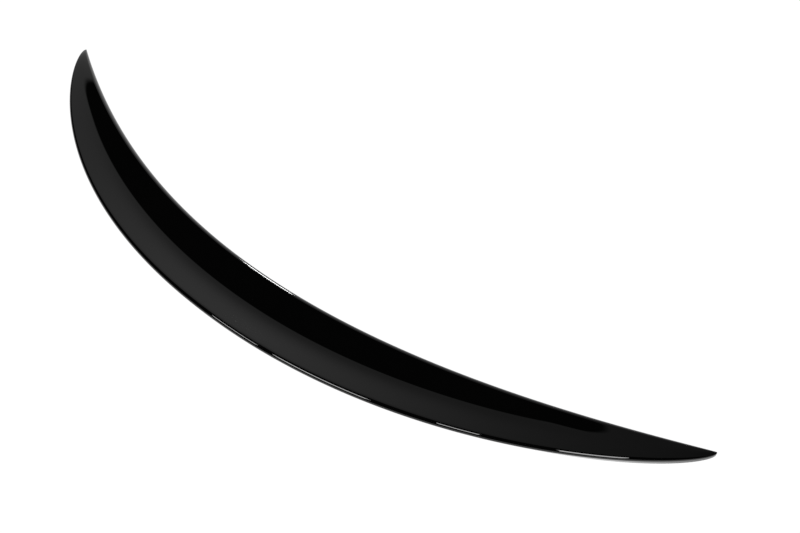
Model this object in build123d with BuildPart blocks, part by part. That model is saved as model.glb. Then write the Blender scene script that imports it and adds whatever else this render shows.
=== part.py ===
# Rear lip spoiler of a car, moulded in one piece.
# A crescent that follows the rear edge of a boot lid. Its top is two strips that meet in a soft crease:
# the front one falls along the lid and the tail one is kicked up. Its underside is cored out to a thin
# wall, between a front land and a rear land.
#
# Millimetres. X is across the car, +Y towards the front of the car and +Z up.
# The origin is on the car's centre plane, in the middle of the rear land, and the part stands on Z = 0.
from build123d import *

import os
from math import asin, atan2, cos, hypot, pi, radians, sin, tan

# Outline seen from above
span = 1188.0            # width over the two tips
sweep = 160.5            # how far the tips lie in front of the middle of the front edge
easing = 0.092           # straightens the front edge towards its tips, 0 gives a parabola
chord = 92.4             # front edge to tail edge in the middle
chord_fullness = 2.353   # how far out the full chord is held
chord_sharpness = 0.714  # how pointed the tips are
tip_width = 2.0          # front edge to tail edge at the blunt end of a tip
overhang = 18.0          # how far the tail edge stands out behind the rear land, in the middle
overhang_fade = 1.25     # how soon the overhang is lost towards the tips

# Top
dish_angle = 22.0        # fall of the front strip, in the middle
kick_angle = 15.8        # climb of the tail strip, in the middle
crown_end = 71.0         # how far from the tips both strips are level, from there on the top is crowned
crease_back = 41.8       # front edge to the crease between the strips, in the middle
crease_pull = 1.034      # how tight the crease is, from 0 for none to 4/3 for a sharp one

# Edges
front_rise = 20.7        # height of the centre of the front edge's round, in the middle
tip_rise = 4.0           # height of the centre of the front edge's round, at the tips
front_radius = 7.0       # round on top of the front edge, in the middle
front_flat = 1.0         # upright part of the front edge, below its round
tail_radius = 4.0        # round of the tail edge, in the middle

# Core in the underside
wall = 3.5               # upright thickness of the top over the core
front_land = 20.0        # width of the land under the front edge, in the middle
rear_land = 7.0          # width of the land that the part stands on
core_end = 85.0          # how far the core stops short of the tips, across the car
sole_trim = 2.0          # how deep the sections reach below the standing plane, to be cut flat there

# Sections that the skin and the core are drawn through, on each side of the middle one
skin_steps = 12
core_steps = 7

tip_lean = atan2(2 * sweep / (1 + easing), span / 2)
half_span = span / 2 - tip_width * sin(tip_lean)
front_middle = chord - overhang - rear_land / 2
crease_share = (crease_back - front_radius) / (chord - front_radius - tail_radius)
level_share = 1 - crown_end / half_span


def fade(share):
    """What is left of a feature at this share of the way out to where it ends."""
    return 1 - share**2


def fitted(radius, width):
    """The radius of an edge's round on a section this wide, given its radius in the middle."""
    room = 3 * radius
    return radius * (width / chord) * (chord + room) / (width + room)


class Section:
    """The cross-section at a share of the half span, from -1 at the left tip to 1 at the right tip.

    Its points are given back from the front edge and up from the standing plane.
    """

    def __init__(self, share):
        left = fade(share)
        bow = 1 + easing * share**2
        slope = 2 * sweep * (1 + easing) * share / (bow**2 * half_span)
        rearward = Vector(slope, -1, 0).normalized()
        front = Vector(half_span * share, front_middle + sweep * (1 + easing) * share**2 / bow, 0)
        self.plane = Plane(origin=front, x_dir=rearward, z_dir=rearward.cross(Vector(0, 0, 1)))

        self.chord = tip_width + (chord - tip_width) * (1 - abs(share) ** chord_fullness) ** chord_sharpness
        self.front_radius = fitted(front_radius, self.chord)
        self.tail_radius = fitted(tail_radius, self.chord)
        self.front_centre = tip_rise + (front_rise - tip_rise) * left
        self.front_bottom = (front_rise - front_flat + sole_trim) * left - sole_trim

        # The strips of the top are drawn as two lines that cross at the crease
        tilt = fade(share / level_share)
        self.dish = radians(dish_angle) * tilt
        self.kick = radians(kick_angle) * tilt
        self.start = self.front_round(pi / 2 - self.dish)
        crease = self.front_radius + crease_share * (self.chord - self.front_radius - self.tail_radius)
        self.crease = (crease, self.start[1] - (crease - self.start[0]) * tan(self.dish))
        end = self.chord - self.tail_radius * (1 + sin(self.kick))
        self.end = (end, self.crease[1] + (end - crease) * tan(self.kick))

        # The rear face touches the tail edge's round and comes down to the heel of the rear land
        self.tail_centre = self.end[1] - self.tail_radius * cos(self.kick)
        self.heel = self.chord - overhang * left**overhang_fade
        reach = self.heel - (self.chord - self.tail_radius)
        lean = asin(self.tail_radius / hypot(reach, self.tail_centre))
        self.back_angle = atan2(-self.tail_centre, reach) - lean

    def front_round(self, angle):
        """The point of the front edge's round where the surface faces this angle."""
        back = self.front_radius * (1 + cos(angle))
        return (back, self.front_centre + self.front_radius * sin(angle))

    def tail_round(self, angle):
        """The point of the tail edge's round where the surface faces this angle."""
        back = self.chord - self.tail_radius * (1 - cos(angle))
        return (back, self.tail_centre + self.tail_radius * sin(angle))

    def creased(self, start, end, depth):
        """Control points of a curve like the top's, this deep below it, pulled towards the crease."""
        back, up = self.crease[0], self.crease[1] - depth
        near, far = [
            (x + (back - x) * crease_pull, y + (up - y) * crease_pull) for x, y in (start, end)
        ]
        return [start, near, far, end]

    def top(self):
        return self.creased(self.start, self.end, 0)

    def tail_edge(self):
        first = pi / 2 + self.kick
        last = self.back_angle + pi / 2
        return [self.tail_round(angle) for angle in (first, (first + last) / 2, last)]

    def underside(self):
        """Rear face, sole and the upright of the front edge."""
        heel = self.heel - sole_trim / tan(self.back_angle)
        return [
            self.tail_round(self.back_angle + pi / 2),
            (heel, -sole_trim),
            (0, self.front_bottom),
            (0, self.front_centre),
        ]

    def front_edge(self):
        first = pi
        last = pi / 2 - self.dish
        return [self.front_round(angle) for angle in (first, (first + last) / 2, last)]

    def core_roof(self):
        """From above the front land to where the wall under the tail strip meets the core's rear wall."""
        front = front_land * self.chord / chord
        front_up = self.start[1] - (front - self.start[0]) * tan(self.dish) - wall
        foot = self.heel - rear_land
        climb = tan(self.kick)
        level = self.crease[1] - wall + (foot - self.crease[0]) * climb
        rear_up = level / (1 - climb / tan(self.back_angle))
        return self.creased((front, front_up), (foot + rear_up / tan(self.back_angle), rear_up), wall)

    def core_walls(self):
        """Rear wall, along the rear face, the open bottom below the standing plane, and the front wall."""
        roof = self.core_roof()
        depth = 2 * sole_trim
        foot = self.heel - rear_land - depth / tan(self.back_angle)
        return [roof[-1], (foot, -depth), (roof[0][0], -depth), roof[0]]


skin = [Section(sin(pi / 2 * step / skin_steps)) for step in range(-skin_steps, skin_steps + 1)]
core_share = 1 - core_end / half_span
core = [Section(core_share * step / core_steps) for step in range(-core_steps, core_steps + 1)]

with BuildPart() as lip_spoiler:
    # Outer skin
    for section in skin:
        with BuildSketch(section.plane):
            with BuildLine():
                Bezier(*section.top())
                ThreePointArc(*section.tail_edge())
                Polyline(*section.underside())
                ThreePointArc(*section.front_edge())
            make_face()
    loft()

    # Core, open at the bottom
    for section in core:
        with BuildSketch(section.plane):
            with BuildLine():
                Bezier(*section.core_roof())
                Polyline(*section.core_walls())
            make_face()
    loft(mode=Mode.SUBTRACT)

    # Flat sole under the rear land and the tips
    split(bisect_by=Plane.XY, keep=Keep.TOP)

lip_spoiler.part.label = "lip_spoiler"

os.makedirs("parts", exist_ok=True)
export_step(lip_spoiler.part, "parts/lip_spoiler.step")
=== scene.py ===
# A lip spoiler for the rear edge of a car's boot lid, alone on a plain white studio floor.
# Metres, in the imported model's frame: X across the car, +Y towards its front, Z up from the floor.
from math import asin, atan2, cos, hypot, pi, radians, sin, tan

import bpy
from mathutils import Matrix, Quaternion, Vector


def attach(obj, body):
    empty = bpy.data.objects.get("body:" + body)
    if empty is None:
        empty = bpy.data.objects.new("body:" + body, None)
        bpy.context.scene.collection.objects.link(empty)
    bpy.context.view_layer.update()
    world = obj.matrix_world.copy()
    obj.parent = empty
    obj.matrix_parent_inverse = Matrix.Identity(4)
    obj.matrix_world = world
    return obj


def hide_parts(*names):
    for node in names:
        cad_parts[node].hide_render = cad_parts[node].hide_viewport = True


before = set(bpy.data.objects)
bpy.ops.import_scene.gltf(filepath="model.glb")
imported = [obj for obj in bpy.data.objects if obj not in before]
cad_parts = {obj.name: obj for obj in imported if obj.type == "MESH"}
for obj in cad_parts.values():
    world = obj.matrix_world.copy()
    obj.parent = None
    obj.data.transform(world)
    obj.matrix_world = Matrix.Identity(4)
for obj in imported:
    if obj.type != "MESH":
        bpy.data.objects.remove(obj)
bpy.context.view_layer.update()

# Lip spoiler.
# One crescent of hard plastic, injection moulded and then lacquered gloss black on the sides that show.
# The underside, which is taped to the boot lid, is left as moulded and is cored out to an even wall.
span = 1.188
sweep = 0.1605
easing = 0.092
chord = 0.0924
chord_fullness = 2.353
chord_sharpness = 0.714
tip_width = 0.002
overhang = 0.018
overhang_fade = 1.25
dish_angle = radians(22)
kick_angle = radians(15.8)
crown_end = 0.071
crease_back = 0.0418
crease_pull = 1.034
front_rise = 0.0207
tip_rise = 0.004
front_radius = 0.007
front_flat = 0.001
tail_radius = 0.0040
wall = 0.0035
front_land = 0.020
rear_land = 0.007
core_end = 0.085
sole_trim = 0.002
rim_radius = 0.0006
top_steps = 56
tail_steps = 12
face_steps = 4
roof_steps = 24
core_wall_steps = 4
upright_steps = 3
front_steps = 20
rim_steps = 4
tip_steps = 30
core_steps = 150
sole_margin = 0.02
merge_distance = 1e-6
smooth_angle = radians(40)

tip_lean = atan2(2 * sweep / (1 + easing), span / 2)
half_span = span / 2 - tip_width * sin(tip_lean)
front_middle = chord - overhang - rear_land / 2
crease_share = (crease_back - front_radius) / (chord - front_radius - tail_radius)
level_share = 1 - crown_end / half_span
core_share = 1 - core_end / half_span


def fitted(radius, width):
    """The radius of an edge's round on a section this wide, given its radius in the middle."""
    room = 3 * radius
    return radius * (width / chord) * (chord + room) / (width + room)


def run(start, end, steps):
    """Points on a straight line, without the last one."""
    return [start.lerp(end, step / steps) for step in range(steps)]


def arc(centre, radius, first, last, steps):
    """Points on a round, without the last one."""
    angles = [first + (last - first) * step / steps for step in range(steps)]
    return [centre + radius * Vector((cos(angle), sin(angle))) for angle in angles]


def curve(start, near, far, end, steps):
    """Points on a cubic curve, without the last one."""
    points = []
    for step in range(steps):
        way = step / steps
        rest = 1 - way
        ends = start * rest**3 + end * way**3
        points.append(ends + near * 3 * way * rest**2 + far * 3 * way**2 * rest)
    return points


def rim(before, corner, after):
    """Points on the small round of a moulded rim, which stays within both of its sides."""
    sides = [side - corner for side in (before, after)]
    reach = min([rim_radius] + [side.length / 3 for side in sides])
    first, last = [corner + side.normalized() * reach for side in sides]
    ways = [step / rim_steps for step in range(rim_steps + 1)]
    return [first * (1 - w) ** 2 + corner * 2 * w * (1 - w) + last * w**2 for w in ways]


def section(share, cored):
    """The points round the cross-section at a share of the half span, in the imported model's frame.

    They start at the front of the top and go back over it, and the points of the bare underside are
    those from the rear land to the front land.
    """
    left = 1 - share**2
    width = tip_width + (chord - tip_width) * (1 - abs(share) ** chord_fullness) ** chord_sharpness
    front_round, tail_round = fitted(front_radius, width), fitted(tail_radius, width)
    tilt = 1 - (share / level_share) ** 2
    dish, kick = dish_angle * tilt, kick_angle * tilt
    front_centre = Vector((front_round, tip_rise + (front_rise - tip_rise) * left))

    # Top: the front strip falls, the tail strip climbs, and the crease is where their lines cross
    start = front_centre + front_round * Vector((sin(dish), cos(dish)))
    crease = Vector((front_round + crease_share * (width - front_round - tail_round), 0))
    crease.y = start.y - (crease.x - start.x) * tan(dish)
    end = Vector((width - tail_round * (1 + sin(kick)), 0))
    end.y = crease.y + (end.x - crease.x) * tan(kick)
    near, far = start.lerp(crease, crease_pull), end.lerp(crease, crease_pull)
    tail_centre = end - tail_round * Vector((-sin(kick), cos(kick)))

    # Rear face, from the tail edge's round down to the heel of the rear land
    heel = Vector((width - overhang * left**overhang_fade, 0))
    reach = heel.x - tail_centre.x
    lean = asin(tail_round / hypot(reach, tail_centre.y))
    back_angle = atan2(-tail_centre.y, reach) - lean
    face = tail_centre + tail_round * Vector((cos(back_angle + pi / 2), sin(back_angle + pi / 2)))

    # Sole, which slopes up to the front edge and is flat where it would go below the floor
    front_bottom = (front_rise - front_flat + sole_trim) * left - sole_trim
    fall = (front_bottom + sole_trim) / (heel.x - sole_trim / tan(back_angle))

    def sole(back):
        return Vector((back, max(0, front_bottom - fall * back)))

    foot = sole(heel.x - min(rear_land, heel.x / 3))
    land = sole(min(front_land * width / chord, heel.x / 3))
    toe = sole(0)
    upright = Vector((0, front_centre.y))

    # Core, from its rear wall over its roof to its front wall, or a plain sole beyond its ends
    if cored:
        sunk = crease - Vector((0, wall))
        level = sunk.y + (foot.x - sunk.x) * tan(kick)
        rise = level / (1 - tan(kick) / tan(back_angle))
        roof_rear = Vector((foot.x + rise / tan(back_angle), rise))
        roof_front = Vector((land.x, start.y - (land.x - start.x) * tan(dish) - wall))
        roof_near, roof_far = roof_front.lerp(sunk, crease_pull), roof_rear.lerp(sunk, crease_pull)
        roof = curve(roof_rear, roof_far, roof_near, roof_front, roof_steps)
        foot_rim, land_rim = rim(heel, foot, roof_rear), rim(roof_front, land, toe)
    else:
        roof_rear, roof_front = foot.lerp(land, sole_margin), foot.lerp(land, 1 - sole_margin)
        roof = run(roof_rear, roof_front, roof_steps)
        foot_rim, land_rim = rim(heel, foot, land), rim(foot, land, toe)

    heel_rim, toe_rim = rim(face, heel, foot), rim(land, toe, upright)
    skin = curve(start, near, far, end, top_steps)
    skin += arc(tail_centre, tail_round, pi / 2 + kick, back_angle + pi / 2, tail_steps)
    skin += run(face, heel_rim[0], face_steps)
    bare = heel_rim + foot_rim + run(foot_rim[-1], roof_rear, core_wall_steps)[1:]
    bare += roof + run(roof_front, land_rim[0], core_wall_steps) + land_rim + toe_rim
    edge = run(toe_rim[-1], upright, upright_steps)[1:]
    edge += arc(front_centre, front_round, pi, pi / 2 - dish, front_steps)
    edge.append(start)

    bow = 1 + easing * share**2
    slope = 2 * sweep * (1 + easing) * share / (bow**2 * half_span)
    rearward = Vector((slope, -1, 0)).normalized()
    front = Vector((half_span * share, front_middle + sweep * (1 + easing) * share**2 / bow, 0))
    points = [front + rearward * point.x + Vector((0, 0, point.y)) for point in skin + bare + edge]
    return points, len(skin), len(skin) + len(bare)


# The stations crowd towards the tips, and the core's two ends have a closed and an open one each
core_turn = asin(core_share)
tip_turns = [core_turn + (pi / 2 - core_turn) * step / tip_steps for step in range(tip_steps + 1)]
core_turns = [core_turn * (2 * step / core_steps - 1) for step in range(core_steps + 1)]
stations = [section(sin(-turn), False) for turn in reversed(tip_turns)]
stations += [section(sin(turn), True) for turn in core_turns]
stations += [section(sin(turn), False) for turn in tip_turns]
around = len(stations[0][0])

bpy.ops.object.select_all(action="DESELECT")
bpy.ops.mesh.primitive_grid_add(x_subdivisions=len(stations) - 1, y_subdivisions=around - 1, size=1)
spoiler = bpy.context.object
spoiler.name = "gloss_lip_spoiler"
bare_plastic = spoiler.data.attributes.new("bare_plastic", "FLOAT", "POINT")
for vertex in spoiler.data.vertices:
    row, column = divmod(vertex.index, len(stations))
    points, bare_from, bare_to = stations[column]
    vertex.co = points[row]
    bare_plastic.data[vertex.index].value = float(bare_from <= row < bare_to)

bpy.ops.object.mode_set(mode="EDIT")
bpy.ops.mesh.select_all(action="SELECT")
bpy.ops.mesh.remove_doubles(threshold=merge_distance)
bpy.ops.mesh.fill_holes(sides=0)
bpy.ops.mesh.select_face_by_sides(number=4, type="GREATER", extend=False)
bpy.ops.mesh.poke()
bpy.ops.mesh.select_all(action="SELECT")
bpy.ops.mesh.normals_make_consistent(inside=False)
bpy.ops.object.mode_set(mode="OBJECT")
bpy.ops.object.shade_smooth_by_angle(angle=smooth_angle)


class Shade:
    """An output of a shader node. Arithmetic on it adds Math nodes to the same tree."""

    def __init__(self, tree, socket=None):
        self.tree = tree
        self.socket = socket

    def node(self, kind, inputs, output=0, **settings):
        """Adds a node: first its settings, then the values or links of its sockets."""
        added = self.tree.nodes.new(kind)
        for name, value in settings.items():
            setattr(added, name, value)
        for name, value in inputs.items():
            if isinstance(value, Shade):
                self.tree.links.new(value.socket, added.inputs[name])
            else:
                added.inputs[name].default_value = value
        return Shade(self.tree, added.outputs[output] if added.outputs else None)

    def maths(self, operation, first, second=0.0):
        return self.node("ShaderNodeMath", {0: first, 1: second}, operation=operation)

    def __add__(self, other):
        return self.maths("ADD", self, other)

    def __sub__(self, other):
        return self.maths("SUBTRACT", self, other)

    def __rsub__(self, other):
        return self.maths("SUBTRACT", other, self)

    def __mul__(self, other):
        return self.maths("MULTIPLY", self, other)

    __radd__ = __add__
    __rmul__ = __mul__


def new_material(name):
    """An empty node material and the tree to build it in."""
    material = bpy.data.materials.new(name)
    material.use_nodes = True
    material.node_tree.nodes.clear()
    return material, Shade(material.node_tree)


# Gloss black lacquer over the mould's own satin grain, which shows on the bare underside
lacquer, tree = new_material("gloss_black_lacquer")
position = tree.node("ShaderNodeTexCoord", {}, output="Object")
bare = tree.node("ShaderNodeAttribute", {}, output="Fac", attribute_name="bare_plastic")
peel, flow, grain = [
    tree.node(
        "ShaderNodeTexNoise",
        {"Vector": position, "Scale": scale, "Detail": detail, "Roughness": rough},
    )
    for scale, detail, rough in ((260, 1.5, 0.4), (9, 3, 0.5), (1800, 2, 0.6))
]
peel_share = 0.03
black = tree.node(
    "ShaderNodeMix",
    {"Factor": flow, "A": (0.0008, 0.0008, 0.0008, 1), "B": (0.0014, 0.0014, 0.0014, 1)},
    output="Result",
    data_type="RGBA",
)
base = tree.node(
    "ShaderNodeMix",
    {"Factor": bare, "A": black, "B": (0.022, 0.022, 0.023, 1)},
    output="Result",
    data_type="RGBA",
)
gloss = 0.012 + flow * 0.012
satin = 0.42 + grain * 0.12
roughness = gloss + bare * (satin - gloss)
relief = tree.node(
    "ShaderNodeBump",
    {"Strength": 0.10, "Distance": 0.0002, "Height": peel * (1 - bare) * peel_share + grain * bare},
)
coat = tree.node(
    "ShaderNodeBsdfPrincipled",
    {"Base Color": base, "Roughness": roughness, "IOR": 1.5, "Normal": relief},
)
tree.node("ShaderNodeOutputMaterial", {"Surface": coat})

spoiler.data.materials.append(lacquer)
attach(spoiler, "root")
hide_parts("lip_spoiler")

# Studio floor.
# A wide sheet of white board that the spoiler lies on. It glows white to the camera, and as white to the
# lacquer, whose lower edges mirror it. The small share of plain paper in it keeps a faint shadow.
floor_size = 14
glow_share = 0.95

bpy.ops.mesh.primitive_plane_add(size=floor_size)
floor = bpy.context.object
floor.name = "studio_floor"
board, tree = new_material("white_board")
seen, mirrored, through = [
    tree.node("ShaderNodeLightPath", {}, output=f"Is {ray} Ray")
    for ray in ("Camera", "Glossy", "Transmission")
]
paper = tree.node("ShaderNodeBsdfDiffuse", {"Color": (0.8, 0.8, 0.8, 1)})
glow = tree.node("ShaderNodeEmission", {"Color": (1, 1, 1, 1), "Strength": 1.06})
glowing = (seen + mirrored + through) * glow_share
sheet = tree.node("ShaderNodeMixShader", {0: glowing, 1: paper, 2: glow})
tree.node("ShaderNodeOutputMaterial", {"Surface": sheet})
floor.data.materials.append(board)

# Studio light.
# A broad pale wall stands beyond the spoiler, brighter to the left and towards the floor, under a dark
# ceiling whose slanting edge the lacquer mirrors as a hard line. It is paler in a band below that edge.
# The ceiling hangs lower towards both ends. A soft panel stands low on each side. All of this shows only in
# the lacquer: to the camera itself the surroundings are white.
ceiling_edge = radians(22.2)
ceiling_slant = 0.128
ceiling_ends = ((-0.785, -0.745, 0.028, 0), (-0.11, -0.07, 0, 0.085))
edge_blur = 0.02
wall_level = 0.34
wall_spread = 2.76
wall_middle = -0.585
wall_to_floor = 3.27
wall_brightest = radians(64)
wall_plain = radians(45)
band_level = 0.2
band_width = 0.28
panel_level = 0.2
panel_sides = (0.4, 0.8)
panel_tops = (0.15, 0.4)
ceiling_level = 0.004

world = bpy.data.worlds.new("studio")
bpy.context.scene.world = world
world.use_nodes = True
world.node_tree.nodes.clear()
tree = Shade(world.node_tree)
direction = tree.node("ShaderNodeTexCoord", {}, output="Generated")
across, ahead, above = [
    tree.node("ShaderNodeSeparateXYZ", {"Vector": direction}, output=axis) for axis in "XYZ"
]
left_end, right_end = [
    tree.node(
        "ShaderNodeMapRange",
        {"Value": across, "From Min": first, "From Max": last, "To Min": left, "To Max": right},
        interpolation_type="SMOOTHSTEP",
    )
    for first, last, left, right in ceiling_ends
]
below_line = across * ceiling_slant + ahead * cos(ceiling_edge) - above * sin(ceiling_edge)
below_edge = below_line - left_end - right_end
on_wall = tree.node(
    "ShaderNodeMapRange",
    {"Value": below_edge, "From Min": -edge_blur, "From Max": edge_blur},
    interpolation_type="SMOOTHSTEP",
)
down = tree.maths("MINIMUM", tree.maths("ARCTAN2", ahead, above), wall_brightest)
aside = across - wall_middle
fall_off = tree.maths("EXPONENT", (down - wall_plain) * wall_to_floor - aside * aside * wall_spread)
band = tree.maths("EXPONENT", below_line * (-1 / band_width))
to_side, to_top = [
    tree.node(
        "ShaderNodeMapRange",
        {"Value": value, "From Min": low, "From Max": high},
        interpolation_type="SMOOTHSTEP",
    )
    for value, (low, high) in ((tree.maths("ABSOLUTE", across), panel_sides), (above, panel_tops))
]
panel = to_side * (1 - to_top) * panel_level
level = on_wall * (fall_off * wall_level + band * band_level) + panel + ceiling_level
lit = tree.node("ShaderNodeBackground", {"Strength": level})
white = tree.node("ShaderNodeBackground", {"Color": (1, 1, 1, 1)})
seen = tree.node("ShaderNodeLightPath", {}, output="Is Camera Ray")
sky = tree.node("ShaderNodeMixShader", {0: seen, 1: lit, 2: white})
tree.node("ShaderNodeOutputWorld", {"Surface": sky})


def strip_lamp(name, place, width, height, roll, radiance):
    """A rectangular lamp that faces the spoiler, as bright as a surface of this radiance."""
    bpy.ops.object.light_add(type="AREA", location=place)
    lamp = bpy.context.object
    lamp.name = name
    turn = place.to_track_quat("Z", "Y") @ Quaternion((0, 0, 1), roll)
    lamp.rotation_euler = turn.to_euler()
    lamp.data.shape = "RECTANGLE"
    lamp.data.size = width
    lamp.data.size_y = height
    lamp.data.energy = radiance * pi * width * height


# A row of lamps above and behind the camera draws the broken bright line along the tail edge
row_radiance = 9
row = (
    (Vector((-1.30, -1.58, 2.19)), 0.52, 0.73, radians(35)),
    (Vector((-0.34, -1.94, 2.26)), 1.04, 1.18, radians(17)),
    (Vector((0.96, -1.42, 2.46)), 0.40, 1.01, radians(-9)),
    (Vector((2.02, -0.84, 2.05)), 0.66, 1.65, radians(-27)),
)
for number, (spot, width, height, roll) in enumerate(row):
    strip_lamp(f"row_lamp_{number}", spot, width, height, roll, row_radiance)

# One lamp low beyond the far edge draws the bright line on it
edge_radiance = 60
strip_lamp("edge_lamp", Vector((-1.555, 2.17, 1.36)), 0.21, 0.32, radians(-9), edge_radiance)

# Camera.
# It looks down on the spoiler from behind its right end, as in the photograph.
azimuth = radians(40.571)
elevation = radians(49.371)
distance = 1.1
aim = Vector((0.14467, 0.20673, 0.00675))
lens = 36.960

away = Vector((sin(azimuth) * cos(elevation), -cos(azimuth) * cos(elevation), sin(elevation)))
bpy.ops.object.camera_add(location=aim + distance * away, rotation=(pi / 2 - elevation, 0, azimuth))
camera = bpy.context.object
camera.data.sensor_width = 36
camera.data.lens = lens
bpy.context.scene.camera = camera
bpy.context.scene.view_settings.view_transform = "Standard"
